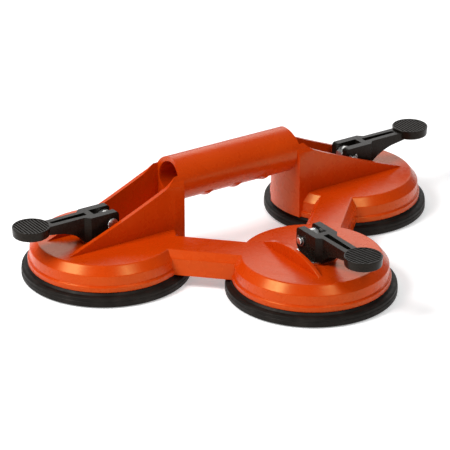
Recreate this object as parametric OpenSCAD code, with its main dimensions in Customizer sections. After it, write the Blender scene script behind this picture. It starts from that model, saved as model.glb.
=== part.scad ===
// Hand lifter with three suction cups, cam levers and a tubular handle.
// Millimetres. +X runs along the handle, +Y away from the front cup, +Z up.
// The origin is on the floor under the middle of the whole lifter.

/* [Cup layout] */
// Distance from the middle plane to each cup under the handle
cup_x = 101.5; // [98:0.5:110]
// How far the front cup stands in front of the other two
cup_drop = 102; // [100:0.5:112]

/* [Housing] */
// Radius of the housing's side wall
wall_r = 53.2; // [52.5:0.1:53.6]
// Radius of the rounded lip at the foot of the housing
lip_r = 54.5; // [54.2:0.1:55]
// Height of the lip's lower edge
lip_z = 9.5; // [9.5:0.1:10]
// Height of the lip's upper edge
lip_top = 13.8; // [13:0.1:15]
// Height where the side wall turns into the bevel
bevel_z = 21; // [19:0.5:22]
// Radius where the bevel meets the flat top
shoulder_r = 48; // [46:0.5:49]
// Height of the flat top
top_z = 27; // [26:0.25:27.5]
// Wall thickness of the moulding
wall = 3; // [2.5:0.1:3.5]

/* [Handle] */
// Height of the handle's axis
handle_z = 57; // [55:0.5:60]
// Outer radius of the handle
handle_r = 16; // [15:0.5:16.5]
// Radius of the bore through the handle
bore_r = 12.5; // [11:0.5:12.5]
// Spacing of the three finger ridges under the handle
ridge_pitch = 24; // [20:1:26]
// How far a finger ridge stands out
ridge_h = 1.2; // [0.6:0.1:1.6]

/* [Posts and ribs] */
// Radius of the post's inner wall about its cup
post_r = 56; // [55:0.5:56.5]
// Half the width of a post
post_half = 18; // [17:0.5:19]
// Distance from a lever's middle plane to the outer face of a rib
rib_y = 17; // [16.5:0.25:17.5]
// Thickness of a rib
rib_t = 3; // [2.5:0.25:3.5]
// How far a rib reaches outwards past the cup's axis
rib_reach = 39; // [36:1:42]
// How far the middle of a rib's sloping edge sags below a straight line
rib_sag = 0.9; // [0.5:0.1:1.5]

/* [Arms] */
// Width of an arm at its foot
arm_w = 30.4; // [28:0.2:32]
// Width of an arm's flat top
arm_top_w = 22; // [20:0.5:23]
// Height where an arm's side turns into its bevel
arm_bevel_z = 22; // [20:0.5:23]
// How far an arm stands outwards of the line through its two cups
arm_shift = 1.3; // [0:0.1:2]
// Height of the fin beside the front lever
fin_h = 8.6; // [6:0.2:10]
// Half the length of the fin's foot
fin_half = 33.5; // [30:0.5:36]

/* [Pads] */
// Radius of a pad's outer lip
pad_r = 59; // [58:0.5:60]
// Depth of the suction chamber with the lever down
chamber_h = 5.2; // [5:0.1:5.6]

/* [Levers] */
// Height of the pivot pin with the lever down
pin_z = 39.5; // [39:0.25:40.5]
// Distance from the pin to the cam face with the lever down
cam_down = 10.2; // [10:0.1:10.4]
// Distance from the pin to the cam face with the lever up
cam_up = 5.5; // [5.3:0.1:5.8]
// Width across the lever's two ears
fork_w = 18; // [17:0.5:19]
// Gap between the ears
fork_gap = 7.6; // [7.4:0.1:8]
// Height of the lever's top edge above the pin
lever_top = 8; // [7.5:0.25:8.5]
// Width of the lever's arm
lever_w = 11; // [10:0.5:12]
// Distance from the pin to the middle of the paddle
paddle_s = 58.4; // [56:0.2:60]
// Radius of the paddle
paddle_r = 13; // [12:0.25:14]
// Thickness of the paddle
paddle_t = 6.5; // [6:0.25:8]

/* [Steel parts] */
// Radius of the wear washer
washer_r = 18; // [16:0.5:18]
// How far the washer and its boss reach behind the stud
washer_back = 8.5; // [7:0.5:10]
// Thickness of the wear washer
washer_t = 1.4; // [1.2:0.1:1.6]
// Radius of the stud's round shank
stud_r = 5; // [4.5:0.1:5.2]
// Thickness of the stud's flattened eye
eye_t = 7; // [6.5:0.1:7.2]
// Radius of the stud's eye
eye_r = 6.2; // [5.5:0.1:6.4]
// Radius of the pivot pin
pin_r = 2.5; // [2.25:0.05:2.75]
// Radius of the pin's head
pin_head_r = 4; // [3.75:0.05:4.25]
// Radius of the backing plate on the pad
plate_r = 30; // [28:1:31]

/* [Hidden] */
SIDES = ["left", "right", "front"];

ORANGE = [0.85, 0.27, 0.06];
BLACK = [0.09, 0.09, 0.09];
RUBBER = [0.16, 0.16, 0.15];
STEEL = [0.75, 0.75, 0.74];

// The lifter's box is centred on the origin, so its depth sets where the cups stand.
lever_reach = paddle_s + paddle_r;
cup_y = (cup_drop + lever_reach - pad_r) / 2;
front_y = cup_y - cup_drop;

// Small clearances
fit_gap = 0.1;    // stud in its guide
soft_gap = 0.1;   // plate above the rubber
pin_gap = 0.08;   // pin in the stud's eye
ear_gap = 0.05;   // pin in the lever's ears
cam_gap = 0.2;    // cam above the washer

// Heights inside a cup
boss_z = pin_z - cam_down - cam_gap - washer_t;
boss_r = washer_r + 1;
boss_half = 14.5;
washer_half = rib_y - rib_t - 0.3;
roof_z = top_z - wall;
guide_z = 19;
guide_r = 10;
boss_pad_z = 11.5;
plate_z = boss_pad_z + soft_gap;
plate_t = 2;
foot_r = 8;
foot_t = 2;
shank_top = pin_z - cam_down - cam_gap - fit_gap;

// Where the tilted cut at the handle's ends and the ribs' long edge meet
cut_arc_r = 27.5;
cut_arc_s = -26.5;
cut_arc_z = 82.7;
cut_join_s = -38;
cut_join_z = cut_arc_z - sqrt(pow(cut_arc_r, 2) - pow(cut_join_s - cut_arc_s, 2));
rib_ramp_s = -39;
post_face_s = -46;
post_round_z = 52;
handle_end_s = -(cut_arc_r - cut_arc_s);

// Points of an arc about [x, y] from angle a0 to a1
function arc(x, y, r, a0, a1, n = 6) =
    [for (i = [0:n]) let (a = a0 + (a1 - a0) * i / n) [x + r * cos(a), y + r * sin(a)]];

// Points from p to q on an arc that sags by h to the right of the way from p to q
function sagging(p, q, h, n = 12) =
    let (c = q - p, l = norm(c), u = c / l, v = [u[1], -u[0]])
    [for (i = [0:n]) let (t = i / n) p + c * t + v * (4 * h * t * (1 - t))];

// Moves a cup's part, built about the cup's axis with its lever along +X, to its place
module at_cup(side) {
    if (side == "left") translate([-cup_x, cup_y, 0]) rotate([0, 0, 180]) children();
    if (side == "right") translate([cup_x, cup_y, 0]) children();
    if (side == "front") translate([0, front_y, 0]) rotate([0, 0, -90]) children();
}

// A cylinder along X from x0 to x1 at height z
module bar_x(r, x0, x1, z) {
    translate([x0, 0, z]) rotate([0, 90, 0]) cylinder(r = r, h = x1 - x0, $fn = 96);
}

// ---- frame ----

module housing_outside() {
    rotate_extrude($fn = 144)
        polygon(concat(
            [[0, lip_z], [lip_r - 0.8, lip_z]],
            arc(lip_r - 0.8, lip_z + 0.8, 0.8, -90, 0, 3),
            arc(lip_r - 1.4, lip_top - 1.4, 1.4, 0, 80, 4),
            [[wall_r, lip_top + 0.2], [wall_r - 0.3, bevel_z - 0.6]],
            [[wall_r - 0.8, bevel_z + 0.6], [shoulder_r + 0.7, top_z - 0.5]],
            [[shoulder_r - 0.7, top_z], [0, top_z]]));
}

// The low flat under the wear washer
module boss() {
    intersection() {
        translate([0, 0, roof_z]) cylinder(r = boss_r, h = boss_z - roof_z, $fn = 96);
        translate([-washer_back - 1, -boss_half, roof_z])
            cube([boss_r + washer_back + 1, 2 * boss_half, wall + 5]);
    }
}

module housing_inside() {
    inner_r = wall_r - wall;
    rotate_extrude($fn = 144)
        polygon([[0, 0], [inner_r, 0], [inner_r, bevel_z - 1], [shoulder_r - 2.2, roof_z],
            [guide_r, roof_z], [guide_r, guide_z], [0, guide_z]]);
}

// Side view of a rib and of everything that the tilted cut leaves, as [outwards, up]
module cut_profile() {
    far = -70;
    polygon(concat(
        [[far, 0], [rib_reach, 0], [rib_reach, top_z]],
        sagging([rib_reach, top_z], [cut_join_s, cut_join_z], -rib_sag),
        arc(cut_arc_s, cut_arc_z, cut_arc_r, 180 + acos((cut_arc_s - cut_join_s) / cut_arc_r),
            180, 10),
        [[handle_end_s, 90], [far, 90]]));
}

module cut_block(half) {
    translate([0, half, 0]) rotate([90, 0, 0]) linear_extrude(2 * half) cut_profile();
}

// Post and ribs seen from above, as [outwards, across]
module post_plan() {
    back = sqrt(pow(post_r, 2) - pow(post_half, 2));
    a = asin(post_half / post_r);
    polygon(concat(
        arc(0, 0, post_r, 180 + a, 180 - a, 10),
        [[post_face_s, post_half], [rib_ramp_s, rib_y], [rib_reach, rib_y]],
        [[rib_reach, -rib_y], [rib_ramp_s, -rib_y], [post_face_s, -post_half]]));
}

// Front view of a post: straight sides that round over into the handle
module post_round() {
    rotate([90, 0, 90]) translate([0, 0, -60]) linear_extrude(120) union() {
        translate([-post_half, lip_z]) square([2 * post_half, post_round_z - lip_z]);
        translate([0, post_round_z]) circle(post_half, $fn = 96);
    }
}

module post_and_ribs() {
    intersection() {
        translate([0, 0, lip_z]) linear_extrude(80) post_plan();
        post_round();
        cut_block(post_half + 1);
    }
}

module channel() {
    half = rib_y - rib_t;
    difference() {
        intersection() {
            translate([-60, -half, top_z]) cube([60 + rib_reach + 5, 2 * half, 60]);
            union() {
                translate([0, 0, top_z - 1]) cylinder(r = post_r - wall, h = 62, $fn = 144);
                translate([0, -half, top_z - 1]) cube([rib_reach + 20, 2 * half, 62]);
            }
        }
        boss();
    }
}

// Cross-section of an arm, as [across, up], or of the hollow that inset leaves inside it
module arm_section(inset) {
    foot = arm_w / 2 - inset;
    side = foot - 0.5;
    flat = arm_top_w / 2 - inset / 2;
    low = lip_z - (inset > 0 ? 1 : 0);
    bend_z = arm_bevel_z - inset / 2;
    high = top_z - inset;
    polygon([[-foot, low], [foot, low], [side, bend_z], [flat, high], [-flat, high],
        [-side, bend_z]]);
}

// An arm runs from a cup's axis to the front cup's axis
module arm(side, inset = 0) {
    way = side == "left" ? 1 : -1;
    translate([-way * cup_x, cup_y, 0]) rotate([0, 0, atan2(-cup_drop, way * cup_x)])
        translate([0, -way * arm_shift, 0]) rotate([90, 0, 90])
            linear_extrude(norm([cup_x, cup_drop])) arm_section(inset);
}

module fin() {
    r = (pow(fin_half, 2) + pow(fin_h, 2)) / (2 * fin_h);
    translate([0, -boss_half, 0]) rotate([90, 0, 0]) linear_extrude(rib_t)
        intersection() {
            translate([0, top_z + fin_h - r]) circle(r, $fn = 180);
            translate([-fin_half - 5, top_z - 1]) square([2 * fin_half + 10, fin_h + 2]);
        }
}

module finger_ridges() {
    for (i = [-1:1]) translate([i * ridge_pitch, cup_y, handle_z]) intersection() {
        rotate([0, 90, 0]) rotate_extrude($fn = 96)
            polygon(concat([[handle_r - 1.5, -5]],
                [for (k = [-4:4]) [handle_r + ridge_h * (1 - pow(k / 4, 2)) - 0.05, k]],
                [[handle_r - 1.5, 5]]));
        translate([-8, -12, -handle_r - 5]) cube([16, 24, handle_r]);
    }
}

module frame() {
    inner_end = cup_x - post_r + 1;
    color(ORANGE) difference() {
        union() {
            for (s = SIDES) at_cup(s) {
                housing_outside();
                boss();
            }
            for (s = ["left", "right"]) {
                arm(s);
                at_cup(s) post_and_ribs();
            }
            at_cup("front") fin();
            translate([0, cup_y, 0]) bar_x(handle_r, -inner_end, inner_end, handle_z);
            for (s = ["left", "right"]) at_cup(s) intersection() {
                bar_x(handle_r, -cup_x + 5, -post_r + 30, handle_z);
                cut_block(handle_r + 1);
            }
            finger_ridges();
        }
        for (s = SIDES) at_cup(s) {
            housing_inside();
            cylinder(r = stud_r + fit_gap, h = 40, $fn = 72);
        }
        for (s = ["left", "right"]) {
            at_cup(s) channel();
            arm_hollow(s);
        }
        translate([0, cup_y, 0]) bar_x(bore_r, -cup_x + 40, cup_x - 40, handle_z);
    }
}

// The hollow under an arm stops short of both housings' walls
module arm_hollow(side) {
    difference() {
        arm(side, wall);
        for (s = [side, "front"]) at_cup(s) cylinder(r = wall_r, h = 60, $fn = 144);
        at_cup(side) translate([-post_r, -post_half, 0]) cube([20, 2 * post_half, 60]);
    }
}

// ---- soft and steel parts of one cup, about its axis ----

module pad() {
    color(RUBBER) rotate_extrude($fn = 144)
        polygon([[0, chamber_h], [34, chamber_h], [43, 2.4], [45.5, 0], [57, 0], [pad_r, 0.9],
            [pad_r, 3.4], [pad_r - 1, 4.4], [pad_r - 1.8, 4.4], [pad_r - 1.8, 4.9],
            [pad_r - 1.1, 5.3], [pad_r - 1.4, 7.1], [pad_r - 2, 7.6], [lip_r + 0.4, 7.6],
            [lip_r - 0.6, lip_z], [47.5, lip_z], [46.5, 7.2], [36, 9.6], [33, boss_pad_z],
            [foot_r + fit_gap, boss_pad_z], [foot_r + fit_gap, boss_pad_z - foot_t - soft_gap],
            [0, boss_pad_z - foot_t - soft_gap]]);
}

module backing_plate() {
    color(STEEL) translate([0, 0, plate_z]) difference() {
        cylinder(r = plate_r, h = plate_t, $fn = 96);
        translate([0, 0, -1]) cylinder(r = stud_r + ear_gap, h = plate_t + 2, $fn = 72);
    }
}

module stud() {
    color(STEEL) difference() {
        union() {
            translate([0, 0, boss_pad_z - foot_t]) cylinder(r = foot_r, h = foot_t, $fn = 72);
            translate([0, 0, boss_pad_z - foot_t])
                cylinder(r = stud_r, h = shank_top - boss_pad_z + foot_t, $fn = 72);
            intersection() {
                union() {
                    translate([0, 0, boss_pad_z]) cylinder(r = stud_r, h = pin_z - boss_pad_z, $fn = 72);
                    translate([0, eye_t / 2, pin_z]) rotate([90, 0, 0])
                        cylinder(r = eye_r, h = eye_t, $fn = 72);
                }
                translate([-20, -eye_t / 2, 0]) cube([40, eye_t, 60]);
            }
        }
        translate([0, 20, pin_z]) rotate([90, 0, 0]) cylinder(r = pin_r + pin_gap, h = 40, $fn = 48);
    }
}

module wear_washer() {
    color(STEEL) translate([0, 0, boss_z]) difference() {
        intersection() {
            cylinder(r = washer_r, h = washer_t, $fn = 96);
            translate([-washer_back, -washer_half, -1])
                cube([washer_r + washer_back, 2 * washer_half, washer_t + 2]);
        }
        translate([0, 0, -1]) cylinder(r = stud_r + 2 * fit_gap, h = washer_t + 2, $fn = 72);
    }
}

// ---- lever and its pin, with the pin's axis at height pin_z ----

// The cam's distance from the pin falls evenly as the lever rises, so its face is an involute.
cam_rate = (cam_down - cam_up) / 90;
cam_lead = cam_rate * 180 / PI;
function cam_point(a) =
    let (h = cam_down - cam_rate * a)
    [-h * sin(a) + cam_lead * cos(a), -h * cos(a) - cam_lead * sin(a)];

fork_s = 16.5;
web_s = 11.5;
step_s = fork_s + (fork_w - lever_w) / 2;
paddle_low = lever_top + 1.5 - paddle_t;

// Side view of the ears and of the arm, as [outwards, up] from the pin
module ear_profile() {
    polygon(concat(
        [for (a = [90:-10:0]) cam_point(a)],
        [[step_s, -cam_down], [step_s, lever_top]],
        arc(-cam_up + 2.5, lever_top - 2.5, 2.5, 90, 180, 4)));
}

module arm_profile() {
    polygon(concat(
        [[web_s, lever_top], [web_s, -cam_down], [fork_s, -cam_down]],
        sagging([step_s, -cam_down + 1.6], [38, 0.5], -1.2, 8),
        [[paddle_s - 4, paddle_low], [paddle_s - 4, lever_top]]));
}

module side_plate(half) {
    translate([0, half, 0]) rotate([90, 0, 0]) linear_extrude(2 * half) children();
}

module paddle() {
    recess = 0.8;
    ridges = 11;
    pitch = 2 * (paddle_r - 1) / ridges;
    translate([paddle_s, 0, paddle_low]) {
        difference() {
            cylinder(r = paddle_r, h = paddle_t, $fn = 96);
            translate([0, 0, paddle_t - recess]) cylinder(r = paddle_r - 1, h = recess + 1, $fn = 96);
        }
        intersection() {
            cylinder(r = paddle_r - 0.5, h = paddle_t, $fn = 96);
            union() for (i = [0:ridges - 1])
                translate([(i + 0.5) * pitch - paddle_r + 1 - 0.35 * pitch, -paddle_r, 1])
                    cube([0.7 * pitch, 2 * paddle_r, paddle_t - 1.2]);
        }
    }
}

module lever() {
    slot_w = 4;
    slot_s = fork_s - 0.5;
    color(BLACK) translate([0, 0, pin_z]) difference() {
        union() {
            intersection() {
                side_plate(fork_w / 2) ear_profile();
                translate([0, 0, -30]) linear_extrude(60) polygon([[-20, -fork_w / 2],
                    [fork_s, -fork_w / 2], [step_s, -lever_w / 2], [step_s, lever_w / 2],
                    [fork_s, fork_w / 2], [-20, fork_w / 2]]);
            }
            side_plate(lever_w / 2) arm_profile();
            paddle();
        }
        translate([-20, -fork_gap / 2, -30]) cube([20 + web_s, fork_gap, 60]);
        translate([slot_s, -slot_w / 2, 2.5])
            cube([paddle_s - paddle_r - 2 - slot_s, slot_w, 20]);
        translate([0, 20, 0]) rotate([90, 0, 0]) cylinder(r = pin_r + ear_gap, h = 40, $fn = 48);
    }
}

module pivot_pin() {
    head_t = 1.5;
    tip = 2.2;
    face = fork_w / 2 + ear_gap;
    color(STEEL) translate([0, 0, pin_z]) rotate([-90, 0, 0]) union() {
        translate([0, 0, -face - tip]) cylinder(r1 = pin_r - 0.5, r2 = pin_r, h = 0.5, $fn = 48);
        translate([0, 0, -face - tip + 0.5]) cylinder(r = pin_r, h = 2 * face + tip - 0.5, $fn = 48);
        translate([0, 0, face]) cylinder(r = pin_head_r, h = head_t - 0.4, $fn = 48);
        translate([0, 0, face + head_t - 0.4])
            cylinder(r1 = pin_head_r, r2 = pin_head_r - 0.6, h = 0.4, $fn = 48);
    }
}

module retaining_ring() {
    face = fork_w / 2 + ear_gap;
    color(STEEL) translate([0, 0, pin_z]) rotate([90, 0, 0]) translate([0, 0, face])
        difference() {
            cylinder(r = pin_head_r + 0.2, h = 0.8, $fn = 48);
            translate([0, 0, -1]) cylinder(r = pin_r + 0.01, h = 3, $fn = 48);
        }
}

frame();
at_cup("left") pad();  // left_pad
at_cup("right") pad();  // right_pad
at_cup("front") pad();  // front_pad
at_cup("left") backing_plate();  // left_backing_plate
at_cup("right") backing_plate();  // right_backing_plate
at_cup("front") backing_plate();  // front_backing_plate
at_cup("left") stud();  // left_stud
at_cup("right") stud();  // right_stud
at_cup("front") stud();  // front_stud
at_cup("left") wear_washer();  // left_wear_washer
at_cup("right") wear_washer();  // right_wear_washer
at_cup("front") wear_washer();  // front_wear_washer
at_cup("left") lever();  // left_lever
at_cup("right") lever();  // right_lever
at_cup("front") lever();  // front_lever
at_cup("left") pivot_pin();  // left_pivot_pin
at_cup("right") pivot_pin();  // right_pivot_pin
at_cup("front") pivot_pin();  // front_pivot_pin
at_cup("left") retaining_ring();  // left_retaining_ring
at_cup("right") retaining_ring();  // right_retaining_ring
at_cup("front") retaining_ring();  // front_retaining_ring
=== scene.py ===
"""Three-cup hand lifter: one moulded orange frame, three rubber pads, three black cam levers
and their steel plates, studs, washers, pins and clips. Shapes are worked out in millimetres about
each cup's axis, with the cup's lever along +X, and put in place in metres."""
from math import acos, asin, atan2, cos, degrees, hypot, pi, radians, sin, sqrt, tan

import bmesh
import bpy
import numpy as np
from mathutils import Matrix, Vector


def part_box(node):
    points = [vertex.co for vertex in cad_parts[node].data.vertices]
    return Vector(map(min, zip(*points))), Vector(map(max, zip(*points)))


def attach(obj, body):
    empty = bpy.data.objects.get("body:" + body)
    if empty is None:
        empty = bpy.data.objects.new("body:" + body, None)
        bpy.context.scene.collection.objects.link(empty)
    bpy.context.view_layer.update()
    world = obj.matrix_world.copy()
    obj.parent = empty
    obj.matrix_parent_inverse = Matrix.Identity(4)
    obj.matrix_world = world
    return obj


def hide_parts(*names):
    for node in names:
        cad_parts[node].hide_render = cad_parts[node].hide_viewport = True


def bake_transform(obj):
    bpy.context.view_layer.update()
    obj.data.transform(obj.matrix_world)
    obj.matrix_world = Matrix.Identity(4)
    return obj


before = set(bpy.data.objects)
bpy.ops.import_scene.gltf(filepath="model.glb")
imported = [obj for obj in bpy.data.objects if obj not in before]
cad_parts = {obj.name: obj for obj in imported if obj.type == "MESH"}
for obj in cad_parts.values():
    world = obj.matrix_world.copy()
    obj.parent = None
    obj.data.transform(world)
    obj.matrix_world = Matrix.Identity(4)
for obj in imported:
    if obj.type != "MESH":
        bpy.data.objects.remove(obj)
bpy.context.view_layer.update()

MM = 0.001
SIDES = ("left", "right", "front")
TURN = {"left": 180, "right": 0, "front": -90}


def middle(node):
    low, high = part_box(node)
    return (low + high) / 2 / MM


def top_of(node):
    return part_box(node)[1].z / MM


def size_of(node):
    low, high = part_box(node)
    return (high - low) / MM


# Where the cups stand, from the frame
CUP = {side: middle(side + "_stud") for side in SIDES}
CUP_X = CUP["right"].x
CUP_Y = CUP["right"].y
FRONT_Y = CUP["front"].y
PIN_Z = middle("right_pivot_pin").z

# Housing
LIP_R, LIP_Z, LIP_TOP = 54.5, 9.5, 13.8
WALL_R, BEVEL_Z, SHOULDER_R, TOP_Z, WALL = 53.2, 21.0, 48.0, 27.0, 3.0
BOSS_R, BOSS_HALF, BOSS_BACK = 19.0, 14.5, -9.5
BOSS_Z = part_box("right_wear_washer")[0].z / MM
HOLLOW_ROOF_R, HOLLOW_STEP_R, HOLLOW_STEP_Z, GUIDE_R = SHOULDER_R - 2.2, 10.0, 19.0, 5.1

# Handle, posts, ribs, arms and fin
HANDLE_R, BORE_R, HANDLE_Z = 16.0, 12.5, 57.0
RIDGE_COUNT, RIDGE_PITCH, RIDGE_H, RIDGE_HALF = 3, 24.0, 1.2, 5.0
POST_R, POST_HALF, POST_ROUND_Z, POST_FACE_S = 56.0, 18.0, 52.0, -46.0
POST_FOOT_S, ABOVE_ALL = -36.0, 90.0
RIB_Y, RIB_T, RIB_REACH, RIB_RAMP_S = 17.0, 3.0, 39.0, -39.0
CUT_R, CUT_S, CUT_Z, CUT_JOIN_S = 27.5, -26.5, 82.7, -38.0
FLUSH = 0.03     # keeps two faces that meet from lying in one plane
WELD = 0.003     # points closer than this are merged
ONE_PLANE = 0.05     # degrees between faces that count as one
ARM_START = 22.0
ARM_W, ARM_TOP_W, ARM_BEVEL_Z, ARM_SHIFT = 30.4, 22.0, 22.0, 1.3
FIN_H, FIN_HALF = 8.6, 33.5

# Pads, plates, washers and studs. PAD_MIDDLE_R and PAD_WEB_R are the radii inside which a pad's
# middle would go with its plunger and outside which its rim would stay with the housing; nothing
# here reads them.
PAD_R, PAD_MIDDLE_R, PAD_WEB_R = 59.0, 33.5, 45.0
SEAL_RADII = (47.5, 50.5, 53.5)
PLATE_R, PLATE_HOLE_R = 30.0, 5.05
WASHER_R, WASHER_HOLE_R = 18.0, 5.2
SHANK_R, FOOT_R, FOOT_Z, FOOT_T = 5.0, 8.0, 9.5, 2.0
EYE_R, EYE_HALF, EYE_HOLE_R, NECK_Z = 6.2, 3.5, 2.58, 29.1

# Levers, from the pin's axis
CAM_DOWN, CAM_UP, LEVER_TOP = 10.2, 5.5, 8.0
FORK_W, FORK_GAP, FORK_S, WEB_S, LEVER_W = 18.0, 7.6, 16.5, 11.5, 11.0
PADDLE_S, PADDLE_R, PADDLE_T = 58.4, 13.0, 6.5
PADDLE_LOW, PADDLE_RIM, PADDLE_RIDGES = LEVER_TOP + 1.5 - PADDLE_T, 1.1, 11
PIN_R, PIN_HEAD_R, LEVER_HOLE_R, FACE_GAP = 2.5, 4.0, 2.55, 0.05
CLIP_R, CLIP_BAY_R, CLIP_T, CLIP_MOUTH = 4.15, 3.1, 0.8, 38

# View: the aim and the distance in metres, the lens in millimetres
AIM, VIEW_AZIMUTH, VIEW_ELEVATION, VIEW_DISTANCE = Vector((0.0083, 0.0747, 0)), -33.4, 24.93, 1.831
LENS, SENSOR, FAR_END = 203.3, 36, 50
FLOOR_HALF, FLOOR_Z = 8, -0.0001


# ---- outlines ----

def arc(x, y, r, a0, a1, steps=8):
    """Points of an arc about (x, y) from angle a0 to a1, in degrees."""
    angles = [radians(a0 + (a1 - a0) * i / steps) for i in range(steps + 1)]
    return [(x + r * cos(a), y + r * sin(a)) for a in angles]


def sagging(p, q, sag, steps=24):
    """Points from p to q on a parabola that sags to the right of the way."""
    run = hypot(q[0] - p[0], q[1] - p[1])
    u = ((q[0] - p[0]) / run, (q[1] - p[1]) / run)
    points = []
    for i in range(steps + 1):
        t = i / steps
        side = 4 * sag * t * (1 - t)
        points.append((p[0] + u[0] * run * t + u[1] * side, p[1] + u[1] * run * t - u[0] * side))
    return points


def rounded(corners, steps=5):
    """A closed outline from (x, y, radius) corners, each turned into an arc."""
    points = []
    count = len(corners)
    for i, (x, y, r) in enumerate(corners):
        before = Vector(corners[i - 1][:2]) - Vector((x, y))
        after = Vector(corners[(i + 1) % count][:2]) - Vector((x, y))
        if r < 1e-6:
            points.append((x, y))
            continue
        before.normalize()
        after.normalize()
        half = before.angle(after) / 2
        centre = Vector((x, y)) + (before + after).normalized() * (r / sin(half))
        start = Vector((x, y)) + before * (r / tan(half)) - centre
        end = Vector((x, y)) + after * (r / tan(half)) - centre
        turn = start.angle_signed(end)
        for k in range(steps + 1):
            a = -turn * k / steps
            points.append((centre.x + start.x * cos(a) - start.y * sin(a),
                           centre.y + start.x * sin(a) + start.y * cos(a)))
    return points


def oblong(x0, x1, y0, y1):
    return [(x0, y0), (x1, y0), (x1, y1), (x0, y1)]


# ---- places ----

def turned(angle, axis):
    return Matrix.Rotation(radians(angle), 4, axis)


def shifted(x, y, z):
    return Matrix.Translation((x, y, z))


def at_cup(side):
    return shifted(CUP[side].x, CUP[side].y, 0) @ turned(TURN[side], "Z")


# Stands a shape drawn in the plan view upright, and then faces it along X
FACING_X = turned(90, "Z") @ turned(90, "X")


# ---- meshes ----

def piece_from(name, verts, faces):
    mesh = bpy.data.meshes.new(name)
    mesh.from_pydata(verts, [], faces)
    piece = bpy.data.objects.new(name, mesh)
    bpy.context.collection.objects.link(piece)
    face_outwards(piece)
    return piece


def face_outwards(piece, merge=1e-4):
    work = bmesh.new()
    work.from_mesh(piece.data)
    bmesh.ops.remove_doubles(work, verts=work.verts, dist=merge)
    bmesh.ops.recalc_face_normals(work, faces=work.faces)
    work.to_mesh(piece.data)
    work.free()


def revolve(name, profile, steps=144, closed=False):
    """Turns (radius, height) points about Z. closed joins the last point to the first; an open
    profile starts and ends on the axis, and each end is closed by one flat face."""
    verts, faces, rings = [], [], []
    for r, z in profile if closed else profile[1:-1]:
        rings.append(range(len(verts), len(verts) + steps))
        verts += [(r * cos(2 * pi * i / steps), r * sin(2 * pi * i / steps), z)
                  for i in range(steps)]
    for low, high in zip(rings, rings[1:] + (rings[:1] if closed else [])):
        faces += [[low[i], low[(i + 1) % steps], high[(i + 1) % steps], high[i]]
                  for i in range(steps)]
    if not closed:
        faces += [list(rings[0])[::-1], list(rings[-1])]
    return piece_from(name, verts, faces)


def rod(name, r, low, high, steps):
    """A plain cylinder about Z."""
    return revolve(name, [(0, low), (r, low), (r, high), (0, high)], steps)


def prism(name, outline, low, high):
    """Extrudes an (x, y) outline from height low to height high."""
    count = len(outline)
    verts = [(x, y, low) for x, y in outline] + [(x, y, high) for x, y in outline]
    faces = [list(range(count))[::-1], list(range(count, 2 * count))]
    faces += [[i, (i + 1) % count, (i + 1) % count + count, i + count] for i in range(count)]
    return piece_from(name, verts, faces)


def side_plate(name, outline, low, high):
    """Extrudes an (x, z) outline across from y = low to y = high."""
    return moved(prism(name, outline, -high, -low), turned(90, "X"))


def bar_along_x(name, r, x0, x1, z, steps=96):
    return moved(rod(name, r, x0, x1, steps), shifted(0, 0, z) @ turned(90, "Y"))


def moved(piece, matrix):
    piece.data.transform(matrix)
    face_outwards(piece)
    return piece


def copy_of(piece):
    twin = bpy.data.objects.new(piece.name, piece.data.copy())
    bpy.context.collection.objects.link(twin)
    return twin


def settle(piece):
    """Turns a piece and its modifiers into a plain mesh."""
    graph = bpy.context.evaluated_depsgraph_get()
    mesh = bpy.data.meshes.new_from_object(piece.evaluated_get(graph))
    piece.modifiers.clear()
    piece.data = mesh
    return piece


def combine(piece, others, operation):
    for other in others:
        step = piece.modifiers.new("step", "BOOLEAN")
        step.solver = "EXACT"
        step.operation = operation
        step.object = other
        settle(piece)
        bpy.data.objects.remove(other)
    return piece


def join(piece, *others):
    return combine(piece, others, "UNION")


def cut(piece, *others):
    return combine(piece, others, "DIFFERENCE")


def keep_common(piece, *others):
    return combine(piece, others, "INTERSECT")


def soften(piece, width, wanted=lambda spot: True, steps=3, corner=28):
    """Rounds the convex edges that are sharper than corner degrees and that wanted picks."""
    work = bmesh.new()
    work.from_mesh(piece.data)
    bmesh.ops.remove_doubles(work, verts=work.verts, dist=WELD)
    bmesh.ops.dissolve_limit(work, angle_limit=radians(ONE_PLANE), verts=work.verts,
                             edges=work.edges)
    edges = [e for e in work.edges if len(e.link_faces) == 2 and e.is_convex
             and e.calc_face_angle(0) > radians(corner)
             and wanted((e.verts[0].co + e.verts[1].co) / 2)]
    bmesh.ops.bevel(work, geom=edges, offset=width, offset_type="OFFSET", segments=steps,
                    profile=0.5, affect="EDGES", clamp_overlap=True, miter_outer="ARC")
    bmesh.ops.remove_doubles(work, verts=work.verts, dist=WELD)
    work.to_mesh(piece.data)
    work.free()
    return piece


def shade(piece, corner=32):
    """Smooth shading that keeps real corners and leaves flat faces flat."""
    piece.data.shade_smooth()
    piece.data.set_sharp_from_angle(angle=radians(corner))
    weigh = piece.modifiers.new("weigh", "WEIGHTED_NORMAL")
    weigh.mode = "FACE_AREA"
    weigh.keep_sharp = True
    return settle(piece)


# ---- rows of copies, by Geometry Nodes ----

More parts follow.
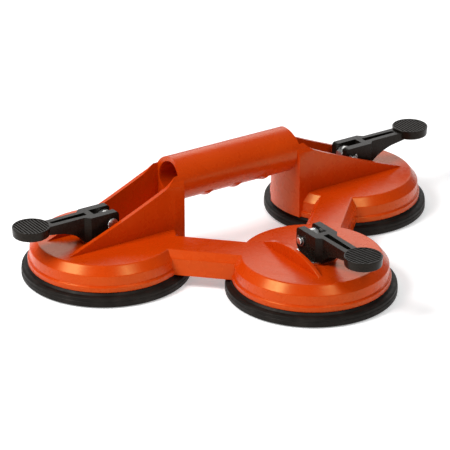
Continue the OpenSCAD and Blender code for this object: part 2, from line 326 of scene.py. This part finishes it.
def row_tree():
    """A tree that sets copies of a shape along a line, centred on the origin."""
    tree = bpy.data.node_groups.new("row of copies", "GeometryNodeTree")
    face = tree.interface
    face.new_socket("Shape", in_out="INPUT", socket_type="NodeSocketObject")
    face.new_socket("Count", in_out="INPUT", socket_type="NodeSocketInt")
    face.new_socket("Pitch", in_out="INPUT", socket_type="NodeSocketVector")
    face.new_socket("Finish", in_out="INPUT", socket_type="NodeSocketMaterial")
    face.new_socket("Row", in_out="OUTPUT", socket_type="NodeSocketGeometry")
    node = tree.nodes.new
    link = tree.links.new
    given, out = node("NodeGroupInput"), node("NodeGroupOutput")
    less_one = node("ShaderNodeMath")
    less_one.operation = "SUBTRACT"
    less_one.inputs[1].default_value = 1
    start = node("ShaderNodeVectorMath")
    start.operation = "SCALE"
    half = node("ShaderNodeMath")
    half.operation = "MULTIPLY"
    half.inputs[1].default_value = -0.5
    line = node("GeometryNodeMeshLine")
    shape = node("GeometryNodeObjectInfo")
    copies = node("GeometryNodeInstanceOnPoints")
    real = node("GeometryNodeRealizeInstances")
    finish = node("GeometryNodeSetMaterial")
    link(given.outputs["Count"], less_one.inputs[0])
    link(less_one.outputs[0], half.inputs[0])
    link(given.outputs["Pitch"], start.inputs[0])
    link(half.outputs[0], start.inputs["Scale"])
    link(given.outputs["Count"], line.inputs["Count"])
    link(start.outputs["Vector"], line.inputs["Start Location"])
    link(given.outputs["Pitch"], line.inputs["Offset"])
    link(given.outputs["Shape"], shape.inputs["Object"])
    link(line.outputs["Mesh"], copies.inputs["Points"])
    link(shape.outputs["Geometry"], copies.inputs["Instance"])
    link(copies.outputs["Instances"], real.inputs["Geometry"])
    link(real.outputs["Geometry"], finish.inputs["Geometry"])
    link(given.outputs["Finish"], finish.inputs["Material"])
    link(finish.outputs["Geometry"], out.inputs["Row"])
    return tree


ROW = row_tree()


def row_of(name, shape, count, pitch, finish):
    """count copies of a shape, pitch apart, as one plain mesh."""
    row = piece_from(name, [(0, 0, 0)], [])
    step = row.modifiers.new("row", "NODES")
    step.node_group = ROW
    values = {"Shape": shape, "Count": count, "Pitch": pitch, "Finish": finish}
    for socket in ROW.interface.items_tree:
        if socket.name in values:
            step[socket.identifier] = values[socket.name]
    settle(row)
    bpy.data.objects.remove(shape)
    return row


# ---- finishes ----

class Finish:
    """A Principled material, with short ways to add the patterns that all finishes share."""

    def __init__(self, name, **constants):
        self.material = bpy.data.materials.new(name)
        self.material.use_nodes = True
        self.nodes = self.material.node_tree.nodes
        self.links = self.material.node_tree.links
        self.shader = self.nodes["Principled BSDF"]
        for socket, value in constants.items():
            self.shader.inputs[socket.replace("_", " ")].default_value = value
        self.place = self.nodes.new("ShaderNodeTexCoord").outputs["Object"]

    def noise(self, size_mm, detail=3, stretch=(1, 1, 1)):
        """Soft blotches about size_mm across, between 0 and 1."""
        mapping = self.nodes.new("ShaderNodeMapping")
        mapping.inputs["Scale"].default_value = stretch
        self.links.new(self.place, mapping.inputs["Vector"])
        noise = self.nodes.new("ShaderNodeTexNoise")
        noise.inputs["Scale"].default_value = 1 / (size_mm * MM)
        noise.inputs["Detail"].default_value = detail
        self.links.new(mapping.outputs["Vector"], noise.inputs["Vector"])
        return noise.outputs["Fac"]

    def spread(self, value, low, high, from_low=0.3, from_high=0.7):
        """Turns a pattern into values from low to high."""
        ramp = self.nodes.new("ShaderNodeMapRange")
        ramp.inputs["From Min"].default_value = from_low
        ramp.inputs["From Max"].default_value = from_high
        ramp.inputs["To Min"].default_value = low
        ramp.inputs["To Max"].default_value = high
        self.links.new(value, ramp.inputs["Value"])
        return ramp.outputs["Result"]

    def blend(self, share, first, second):
        mix = self.nodes.new("ShaderNodeMix")
        mix.data_type = "RGBA"
        mix.inputs["A"].default_value = (*first, 1)
        mix.inputs["B"].default_value = (*second, 1)
        self.links.new(share, mix.inputs["Factor"])
        return mix.outputs["Result"]

    def bump(self, height, depth_mm, strength=1.0, under=None):
        bump = self.nodes.new("ShaderNodeBump")
        bump.inputs["Distance"].default_value = depth_mm * MM
        bump.inputs["Strength"].default_value = strength
        self.links.new(height, bump.inputs["Height"])
        if under is not None:
            self.links.new(under, bump.inputs["Normal"])
        return bump.outputs["Normal"]

    def set(self, socket, value):
        self.links.new(value, self.shader.inputs[socket])


def moulded_orange():
    """Glossy moulded plastic: a very fine eroded grain, faint flow clouds and slow waves."""
    look = Finish("moulded orange plastic", IOR=1.47, Specular_IOR_Level=0.42,
                  Specular_Tint=(1, 0.86, 0.30, 1))
    clouds = look.spread(look.noise(38, 2), 0, 1)
    look.set("Base Color", look.blend(clouds, (0.56, 0.040, 0.0005), (0.62, 0.049, 0.0007)))
    look.set("Roughness", look.spread(look.noise(9, 3), 0.24, 0.31))
    waves = look.bump(look.noise(14, 1), 0.10, 0.35)
    look.set("Normal", look.bump(look.noise(0.35, 2), 0.010, 0.25, waves))
    return look.material


def moulded_black():
    """Black glass-filled nylon with a fine eroded texture."""
    look = Finish("moulded black nylon", IOR=1.36, Specular_IOR_Level=0.28,
                  Specular_Tint=(1, 0.88, 0.78, 1))
    look.set("Base Color", look.blend(look.spread(look.noise(6, 3), 0, 1),
                                      (0.006, 0.0045, 0.0035), (0.010, 0.008, 0.006)))
    look.set("Roughness", look.spread(look.noise(2.5, 3), 0.24, 0.33))
    soft = look.bump(look.noise(5, 1), 0.05, 0.3)
    look.set("Normal", look.bump(look.noise(0.3, 2), 0.02, 0.6, soft))
    return look.material


def black_rubber():
    """Moulded rubber, a little dusty, with a fine grain."""
    look = Finish("black rubber", IOR=1.4, Specular_IOR_Level=0.2,
                  Specular_Tint=(1, 0.92, 0.84, 1))
    dust = look.spread(look.noise(11, 4), 0, 1, 0.45, 0.75)
    look.set("Base Color", look.blend(dust, (0.007, 0.0055, 0.0045), (0.016, 0.013, 0.011)))
    look.set("Roughness", look.spread(look.noise(4, 3), 0.42, 0.56))
    look.set("Normal", look.bump(look.noise(0.5, 3), 0.03, 0.5))
    return look.material


def bright_zinc():
    """Bright zinc plating with fine drawing marks and a slightly blue and yellow cast."""
    look = Finish("bright zinc plating", Metallic=1.0)
    look.set("Base Color", look.blend(look.spread(look.noise(4, 3), 0, 1),
                                      (0.72, 0.73, 0.74), (0.85, 0.83, 0.78)))
    look.set("Roughness", look.spread(look.noise(1.5, 3), 0.22, 0.38))
    look.set("Normal", look.bump(look.noise(0.6, 2, (1, 1, 6)), 0.015, 0.5))
    return look.material


def pressed_steel():
    """Rolled sheet steel with long fine scratches."""
    look = Finish("pressed sheet steel", Metallic=1.0)
    look.set("Base Color", look.blend(look.spread(look.noise(8, 3), 0, 1),
                                      (0.55, 0.55, 0.55), (0.68, 0.67, 0.66)))
    look.set("Roughness", look.spread(look.noise(1.2, 3, (1, 12, 1)), 0.26, 0.44))
    look.set("Normal", look.bump(look.noise(0.5, 2, (1, 14, 1)), 0.01, 0.5))
    return look.material


def oiled_spring():
    """Dark oiled spring steel."""
    look = Finish("oiled spring steel", Metallic=1.0)
    look.set("Base Color", look.blend(look.spread(look.noise(2, 3), 0, 1),
                                      (0.28, 0.28, 0.29), (0.42, 0.41, 0.40)))
    look.set("Roughness", look.spread(look.noise(1, 3), 0.25, 0.4))
    return look.material


ORANGE, BLACK, RUBBER = moulded_orange(), moulded_black(), black_rubber()
ZINC, SHEET, SPRING = bright_zinc(), pressed_steel(), oiled_spring()


def finished(piece, name, material, body, slot, *nodes):
    """Names a piece, puts it in metres and hands it to the body that carries it."""
    piece.name = name
    piece.data.name = name
    piece.data.transform(Matrix.Scale(MM, 4))
    piece.data.materials.clear()
    piece.data.materials.append(material)
    piece.data.polygons.foreach_set("material_index", [0] * len(piece.data.polygons))
    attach(piece, body)
    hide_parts(*nodes)
    return piece


# ---- the frame ----

def housing():
    """The round housing over a pad, before it is hollowed."""
    shell = [(0, LIP_Z, 0), (LIP_R, LIP_Z, 0.7), (LIP_R, LIP_TOP, 1.3),
             (WALL_R, LIP_TOP + 0.3, 0.3), (WALL_R - 0.3, BEVEL_Z, 1.2), (SHOULDER_R, TOP_Z, 2.0),
             (0, TOP_Z, 0)]
    return revolve("housing", rounded(shell, 6))


def housing_hollow():
    inner = WALL_R - WALL
    roof = TOP_Z - WALL
    return revolve("housing hollow", rounded([
        (0, 0, 0), (inner, 0, 0), (inner, BEVEL_Z - 1, 2), (HOLLOW_ROOF_R, roof, 1.5),
        (HOLLOW_STEP_R, roof, 0.8), (HOLLOW_STEP_R, HOLLOW_STEP_Z, 0.8),
        (0, HOLLOW_STEP_Z, 0)], 4))


def boss():
    """The raised seat of the washer, round at the front with three flats."""
    disc = rod("boss", BOSS_R, TOP_Z - WALL, BOSS_Z, 96)
    slab = side_plate("boss flats", oblong(BOSS_BACK, 30, 20, 40), -BOSS_HALF, BOSS_HALF)
    return soften(keep_common(disc, slab), 0.3, lambda spot: spot.z > TOP_Z)


def cut_outline():
    """Side view of what the tilted cut leaves of a post, its ribs and the handle's end."""
    join_z = CUT_Z - sqrt(CUT_R ** 2 - (CUT_JOIN_S - CUT_S) ** 2)
    turn = degrees(acos((CUT_S - CUT_JOIN_S) / CUT_R))
    far, high, low = -CUP_X - 5, 92, LIP_Z - 2
    slope = sagging((RIB_REACH, TOP_Z), (CUT_JOIN_S, join_z), -0.9, 12)
    foot = (RIB_REACH + 0.6, TOP_Z - 0.3)
    bend = arc(CUT_S, CUT_Z, CUT_R, 180 + turn, 180, 14)
    crest = [(CUT_S - CUT_R, high), (far, high)]
    return [(far, low), (foot[0], low), foot] + slope[1:] + bend[1:] + crest


def post_and_ribs():
    """A post with its two ribs and its end of the handle, in one softened piece."""
    turn = degrees(asin(POST_HALF / POST_R))
    plan = arc(0, 0, POST_R, 180 + turn, 180 - turn, 16) + [
        (POST_FACE_S, POST_HALF), (RIB_RAMP_S, RIB_Y), (RIB_REACH + 3, RIB_Y),
        (RIB_REACH + 3, -RIB_Y), (RIB_RAMP_S, -RIB_Y), (POST_FACE_S, -POST_HALF)]
    body = prism("post", plan, LIP_Z + 2 * FLUSH, ABOVE_ALL)
    half = POST_HALF - FLUSH
    front = arc(0, POST_ROUND_Z, half, 0, 180, 48) + [(-half, LIP_Z - 1), (half, LIP_Z - 1)]
    keep_common(body, moved(prism("post front", front, -70, 70), FACING_X))
    join(body, bar_along_x("handle half", HANDLE_R, -CUP_X, -10, HANDLE_Z))
    keep_common(body, side_plate("tilted cut", cut_outline(), -POST_HALF - 2, POST_HALF + 2))
    half = RIB_Y - RIB_T
    well_r = POST_R - WALL
    well = rod("well", well_r, TOP_Z - 1, ABOVE_ALL, 144)
    keep_common(well, side_plate("well sides", oblong(-80, 80, 20, ABOVE_ALL + 5), -half, half))
    cut(body, well, bar_along_x("bore", BORE_R, -CUP_X - 5, 40, HANDLE_Z))
    return soften(body, 0.75, lambda spot: spot.z > TOP_Z + 0.5 and spot.x > -POST_R + 0.5)


def handle_with_posts():
    """Both posts, whose halves of the handle meet in the middle plane."""
    post = post_and_ribs()
    halves = [moved(copy_of(post), at_cup("left")), moved(post, at_cup("right"))]
    work = bmesh.new()
    for half in halves:
        work.from_mesh(half.data)
        bpy.data.objects.remove(half)
    caps = [f for f in work.faces if all(abs(v.co.x) < 0.01 for v in f.verts)]
    bmesh.ops.delete(work, geom=caps, context="FACES")
    bmesh.ops.remove_doubles(work, verts=work.verts, dist=0.005)
    handle = piece_from("handle", [(0, 0, 0)], [])
    work.to_mesh(handle.data)
    work.free()
    return join(handle, finger_ridges())


def arm(side, inset=0.0):
    """An arm from inside a handle cup's housing to inside the front one, or its hollow."""
    way = 1 if side == "left" else -1
    foot, flat = ARM_W / 2 - inset, ARM_TOP_W / 2 - inset / 2
    low = LIP_Z - 1 if inset else LIP_Z + FLUSH
    bend_z, high = ARM_BEVEL_Z - inset / 2, TOP_Z - inset - FLUSH
    section = rounded([(-foot, low, 0.6), (foot, low, 0.6), (foot - 0.5, bend_z, 1.4),
                       (flat, high, 1.6), (-flat, high, 1.6), (-foot + 0.5, bend_z, 1.4)], 5)
    run = hypot(CUP_X, CUP_Y - FRONT_Y)
    bar = prism("arm", section, ARM_START, run - ARM_START)
    heading = Matrix.Rotation(atan2(FRONT_Y - CUP_Y, way * CUP_X), 4, "Z")
    return moved(bar, shifted(-way * CUP_X, CUP_Y, 0) @ heading
                 @ shifted(0, -way * ARM_SHIFT, 0) @ FACING_X)


def arm_hollow(side):
    """The hollow under an arm, clear of both housings and of the post's foot."""
    hollow = arm(side, WALL)
    clear_r = LIP_R + 0.2
    for end in (side, "front"):
        cut(hollow, moved(rod("wall", clear_r, 0, 60, 144), at_cup(end)))
    half, reach = POST_HALF + 1, POST_R + 1
    block = prism("post foot", oblong(-reach, POST_FOOT_S, -half, half), 0, 60)
    return cut(hollow, moved(block, at_cup(side)))


def fin():
    """The low curved guard beside the front lever."""
    r = (FIN_HALF ** 2 + FIN_H ** 2) / (2 * FIN_H)
    centre_z = TOP_Z + FIN_H - r
    reach = degrees(asin((FIN_HALF + 3) / r))
    outline = arc(0, centre_z, r, 90 - reach, 90 + reach, 48)
    plate = side_plate("fin", outline, -BOSS_HALF - RIB_T, -BOSS_HALF + FLUSH)
    return soften(plate, 1.1, lambda spot: spot.z > TOP_Z - 2, 4)


def finger_ridges():
    """Three low swellings under the handle, between the fingers."""
    inside = HANDLE_R - 1.5
    swell = [(HANDLE_R + RIDGE_H * cos(pi * k / 16) ** 2 - 0.06, k * RIDGE_HALF / 8)
             for k in range(-8, 9)]
    ring = revolve("finger ridge", [(inside, -RIDGE_HALF)] + swell + [(inside, RIDGE_HALF)], 96,
                   closed=True)
    # A small turn keeps the ring's corners off the handle's own
    moved(ring, turned(90, "Y") @ turned(1.2, "Z"))
    keep_common(ring, prism("lower part", oblong(-8, 8, -12, 12), -22, -4))
    row = row_of("finger ridges", ring, RIDGE_COUNT, (RIDGE_PITCH, 0, 0), ORANGE)
    return moved(row, shifted(0, CUP_Y, HANDLE_Z))


def make_frame():
    body = moved(housing(), at_cup("front"))
    join(body, moved(housing(), at_cup("left")), moved(housing(), at_cup("right")))
    join(body, arm("left"), arm("right"))
    join(body, *[moved(boss(), at_cup(side)) for side in SIDES])
    join(body, moved(fin(), at_cup("front")))
    join(body, handle_with_posts())
    for side in SIDES:
        cut(body, moved(housing_hollow(), at_cup(side)),
            moved(rod("guide", GUIDE_R, 0, 40, 64), at_cup(side)))
    cut(body, arm_hollow("left"), arm_hollow("right"))
    return finished(shade(body), "moulded_frame", ORANGE, "base", "orange_plastic", "frame")


make_frame()


# ---- rubber and steel parts of one cup ----


def make_pad(side):
    """The rubber pad, in one piece, with its rim under the housing."""
    under = [(0, 5.2, 0), (33, 5.2, 3), (43.5, 2.2, 3), (45.5, 0, 0.4)]
    seals = [(r + step, z, 0.15) for r in SEAL_RADII
             for step, z in ((0, 0), (0.2, 0.45), (1.0, 0.45), (1.2, 0))]
    groove = [(PAD_R, 4.3, 0.15), (PAD_R - 0.3, 4.6, 0.15), (PAD_R - 0.15, 4.9, 0.15)]
    outside = [(57.2, 0, 0.6), (PAD_R, 1.0, 0.8)] + groove + [
        (PAD_R - 0.3, 6.9, 0.9), (PAD_R - 1.8, 7.6, 0.8), (LIP_R + 0.9, 7.9, 0.6),
        (LIP_R - 0.7, LIP_Z, 0.3)]
    over = [(47.5, LIP_Z, 0.5), (46.5, 7.2, 1.5), (36, 9.6, 3), (33, 11.5, 1.5), (8.1, 11.5, 0.3),
            (8.1, 9.4, 0), (0, 9.4, 0)]
    pad = moved(revolve("pad", rounded(under + seals + outside + over, 5)), at_cup(side))
    return finished(shade(pad), side + "_rubber_pad", RUBBER, "base", "rubber_pad",
                    side + "_pad")


def bend_with_plunger(piece):
    """Takes the pad off the body that carries it and bakes its place into its mesh; the pad does
    not bend here.
    """
    piece.parent = None
    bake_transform(piece)


def make_backing_plate(side):
    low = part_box(side + "_backing_plate")[0].z / MM
    high = top_of(side + "_backing_plate")
    ring = rounded([(PLATE_HOLE_R, low, 0.2), (PLATE_R, low, 0.6), (PLATE_R, high, 0.9),
                    (PLATE_HOLE_R, high, 0.3)], 4)
    plate = moved(revolve("plate", ring, closed=True), at_cup(side))
    return finished(shade(plate), side + "_pressed_plate", SHEET, side + "_plunger",
                    "steel_plate", side + "_backing_plate")


def make_washer(side):
    """The wear washer under the cam: a stamped disc with three flats and softened edges."""
    low, high = BOSS_Z, top_of(side + "_wear_washer")
    half = size_of("right_wear_washer").y / 2
    turn = degrees(asin(half / WASHER_R))
    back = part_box("right_wear_washer")[0].x / MM - CUP_X
    outline = arc(0, 0, WASHER_R, -turn, turn, 24) + [(back, half), (back, -half)]
    disc = prism("washer", outline, low, high)
    cut(disc, rod("hole", WASHER_HOLE_R, 0, 60, 64))
    soften(disc, 0.35, steps=3)
    return finished(shade(moved(disc, at_cup(side))), side + "_stamped_washer", ZINC, "base",
                    "zinc_steel", side + "_wear_washer")


def make_stud(side):
    """The stud: a riveted foot, a round shank and a flattened eye round the pin."""
    across = shifted(0, 0, PIN_Z) @ turned(90, "X")
    foot_top = FOOT_Z + FOOT_T
    shank = revolve("shank", rounded([
        (0, FOOT_Z, 0), (FOOT_R, FOOT_Z, 0.3), (FOOT_R, foot_top, 0.5), (SHANK_R, foot_top, 0.4),
        (SHANK_R, PIN_Z, 0), (0, PIN_Z, 0)], 4), 96)
    barrel = revolve("eye", rounded([(0, -EYE_HALF, 0), (EYE_R, -EYE_HALF, 0.5),
                                     (EYE_R, EYE_HALF, 0.5), (0, EYE_HALF, 0)], 4), 96)
    flats = side_plate("flats", oblong(-20, 20, NECK_Z, 60), -20, 20)
    cut(flats, side_plate("neck", oblong(-20, 20, 0, 60), -EYE_HALF, EYE_HALF))
    cut(shank, flats)
    join(shank, moved(barrel, across))
    cut(shank, moved(rod("hole", EYE_HOLE_R, -20, 20, 48), across))
    soften(shank, 0.25, lambda spot: spot.z > NECK_Z - 0.6, 2)
    return finished(shade(moved(shank, at_cup(side))), side + "_eye_stud", ZINC, side + "_plunger",
                    "zinc_steel", side + "_stud")


# ---- levers and their pins ----

def cam_outline():
    """The cam's face, an involute whose distance from the pin falls evenly as the lever rises."""
    rate = (CAM_DOWN - CAM_UP) / 90
    lead = degrees(rate)
    points = []
    for step in range(46):
        turn = 90 - 2 * step
        a = radians(turn)
        h = CAM_DOWN - rate * turn
        points.append((-h * sin(a) + lead * cos(a), -h * cos(a) - lead * sin(a)))
    return points


def paddle():
    """The round thumb plate: a raised rim round a row of straight ridges."""
    well_r, well_z = PADDLE_R - PADDLE_RIM, PADDLE_T - 0.9
    disc = revolve("paddle", rounded([
        (0, 0, 0), (PADDLE_R - 0.4, 0, 0.8), (PADDLE_R, PADDLE_T, 0.45), (well_r, PADDLE_T, 0.35),
        (well_r, well_z, 0.1), (0, well_z, 0)], 4), 128)
    pitch = 2 * well_r / PADDLE_RIDGES
    w = 0.33 * pitch
    bead = rounded([(-w, -1, 0), (w, -1, 0), (w * 0.72, 0.62, 0.24), (-w * 0.72, 0.62, 0.24)], 4)
    ridge = side_plate("ridge", bead, -PADDLE_R, PADDLE_R)
    row = row_of("paddle ridges", ridge, PADDLE_RIDGES, (pitch, 0, 0), BLACK)
    moved(row, shifted(0, 0, well_z))
    keep_common(row, rod("paddle well", PADDLE_R - 0.7, well_z - 0.6, 20, 128))
    join(disc, row)
    return moved(disc, shifted(PADDLE_S, 0, PADDLE_LOW))


def lever():
    """A forked cam lever about its pin's axis."""
    step_s = FORK_S + (FORK_W - LEVER_W) / 2
    ears = cam_outline() + [(step_s, -CAM_DOWN), (step_s, LEVER_TOP)]
    ears += arc(-CAM_UP + 2.5, LEVER_TOP - 2.5, 2.5, 90, 180, 8)
    fork = side_plate("ears", ears, -FORK_W / 2, FORK_W / 2)
    half, thin = FORK_W / 2, LEVER_W / 2
    plan = [(-20, -half - 1), (-20, half + 1), (FORK_S - 1, half + 1), (FORK_S, half),
            (step_s, thin), (step_s + 1, thin), (step_s + 1, -thin), (step_s, -thin),
            (FORK_S, -half), (FORK_S - 1, -half - 1)]
    keep_common(fork, prism("fork plan", plan, -30, 30))
    belly = sagging((step_s, -CAM_DOWN + 1.6), (38, 0.5), -1.2, 14)
    beam = [(WEB_S, LEVER_TOP), (WEB_S, -CAM_DOWN), (FORK_S, -CAM_DOWN)] + belly
    beam += [(PADDLE_S - 4, PADDLE_LOW), (PADDLE_S - 4, LEVER_TOP)]
    join(fork, side_plate("beam", beam, -thin, thin))
    gap = side_plate("fork gap", oblong(-30, WEB_S, -30, 30), -FORK_GAP / 2, FORK_GAP / 2)
    slot_start, slot_end = FORK_S - 0.5, PADDLE_S - PADDLE_R - 2
    slot = prism("slot", rounded([(slot_start, -2.2, 0.6), (slot_end, -1.5, 1.2),
                                  (slot_end, 1.5, 1.2), (slot_start, 2.2, 0.6)], 4), 2.5, 20)
    hole = moved(rod("hole", LEVER_HOLE_R, -20, 20, 48), turned(90, "X"))
    cut(fork, gap, slot, hole)
    soften(fork, 0.6, lambda spot: (spot.x < PADDLE_S - PADDLE_R + 1
                                    and hypot(spot.x, spot.z) > LEVER_HOLE_R + 0.45))
    join(fork, paddle())
    return shade(fork)


def pivot_pin():
    """A headed pin with a slightly domed head and a chamfered tip, along Y."""
    face = FORK_W / 2 + FACE_GAP
    tip, dome = -face - 2.2, face + 1.5
    profile = rounded([(0, tip, 0), (PIN_R - 0.1, tip, 0.5), (PIN_R, -face - 1.6, 0.1),
                       (PIN_R, face, 0.15), (PIN_HEAD_R, face, 0.25),
                       (PIN_HEAD_R, face + 0.9, 0.4), (1.6, dome, 1.5), (0, dome, 0)], 4)
    return shade(moved(revolve("pin", profile, 72), turned(-90, "X")))


def retaining_ring():
    """A spring clip with an open mouth and three gripping teeth, on the pin's tip."""
    grip = PIN_R + 0.02
    outline = arc(0, 0, CLIP_R, CLIP_MOUTH, 360 - CLIP_MOUTH, 48)
    # Back round the inside from the mouth: tooth, bay, tooth, bay, tooth
    for start, end, r in ((-CLIP_MOUTH, -60, grip), (-68, -150, CLIP_BAY_R), (-158, -202, grip),
                          (-210, -280, CLIP_BAY_R), (-300, CLIP_MOUTH - 360, grip)):
        outline += arc(0, 0, r, start, end, 10)
    clip = prism("clip", outline, 0, CLIP_T)
    soften(clip, 0.15, steps=2)
    moved(clip, turned(90, "Z"))
    return shade(moved(clip, shifted(0, -FORK_W / 2 - FACE_GAP, 0) @ turned(90, "X")))


def make_lever_sets():
    shapes = {"cam_lever": (lever(), BLACK, "black_plastic", "lever"),
              "headed_pin": (pivot_pin(), ZINC, "zinc_steel", "pivot_pin"),
              "spring_clip": (retaining_ring(), SPRING, "spring_steel", "retaining_ring")}
    for name, (shape, material, slot, node) in shapes.items():
        for side in SIDES:
            place = at_cup(side) @ shifted(0, 0, PIN_Z)
            twin = copy_of(shape)
            twin.data.transform(place)
            finished(twin, side + "_" + name, material, side + "_lever_set", slot,
                     side + "_" + node)
        bpy.data.objects.remove(shape)


for side in SIDES:
    pad = make_pad(side)
    bend_with_plunger(pad)
    make_backing_plate(side)
    make_washer(side)
    make_stud(side)
make_lever_sets()


# ---- floor, light and camera ----

def floor():
    corners = oblong(-FLOOR_HALF, FLOOR_HALF, -FLOOR_HALF, FLOOR_HALF)
    plane = piece_from("floor", [(x, y, FLOOR_Z) for x, y in corners], [(0, 1, 2, 3)])
    look = Finish("pale floor", Roughness=0.9, Specular_IOR_Level=0.2, Emission_Color=(1, 1, 1, 1),
                  Emission_Strength=0.35)
    look.set("Base Color", look.blend(look.noise(900, 2), (0.93, 0.93, 0.93), (0.95, 0.95, 0.95)))
    plane.data.materials.append(look.material)


def softbox(name, azimuth, elevation, distance, width, height, power):
    """A large rectangular lamp that looks at the lifter. Azimuth 0 stands it towards -Y."""
    lamp = bpy.data.lights.new(name, "AREA")
    lamp.shape = "RECTANGLE"
    lamp.size, lamp.size_y = width, height
    lamp.energy = power
    stand = bpy.data.objects.new(name, lamp)
    bpy.context.collection.objects.link(stand)
    stand.location = direction(azimuth, elevation) * distance
    stand.rotation_euler = stand.location.to_track_quat("Z", "Y").to_euler()


def direction(azimuth, elevation):
    """Unit vector towards a place at that azimuth and elevation, in degrees."""
    a, e = radians(azimuth), radians(elevation)
    return Vector((sin(a) * cos(e), -cos(a) * cos(e), sin(e)))


def studio():
    world = bpy.data.worlds.new("studio")
    bpy.context.scene.world = world
    world.use_nodes = True
    backdrop = world.node_tree.nodes["Background"]
    backdrop.inputs["Color"].default_value = (1, 1, 1, 1)
    backdrop.inputs["Strength"].default_value = 0.15
    softbox("left softbox", -97, 46, 1.5, 0.55, 0.55, 18)
    softbox("front softbox", 2, 52, 1.4, 0.35, 0.35, 4.4)
    softbox("back softbox", 146, 28, 1.7, 2.2, 1.0, 11)
    softbox("overhead softbox", 60, 84, 2.2, 2.4, 2.4, 3)
    bpy.context.scene.view_settings.view_transform = "Standard"


def camera():
    lens = bpy.data.cameras.new("camera")
    lens.sensor_width = SENSOR
    lens.lens = LENS
    lens.clip_end = FAR_END
    eye = bpy.data.objects.new("camera", lens)
    bpy.context.collection.objects.link(eye)
    eye.location = AIM + direction(VIEW_AZIMUTH, VIEW_ELEVATION) * VIEW_DISTANCE
    eye.rotation_euler = (eye.location - AIM).to_track_quat("Z", "Y").to_euler()
    bpy.context.scene.camera = eye


floor()
studio()
camera()
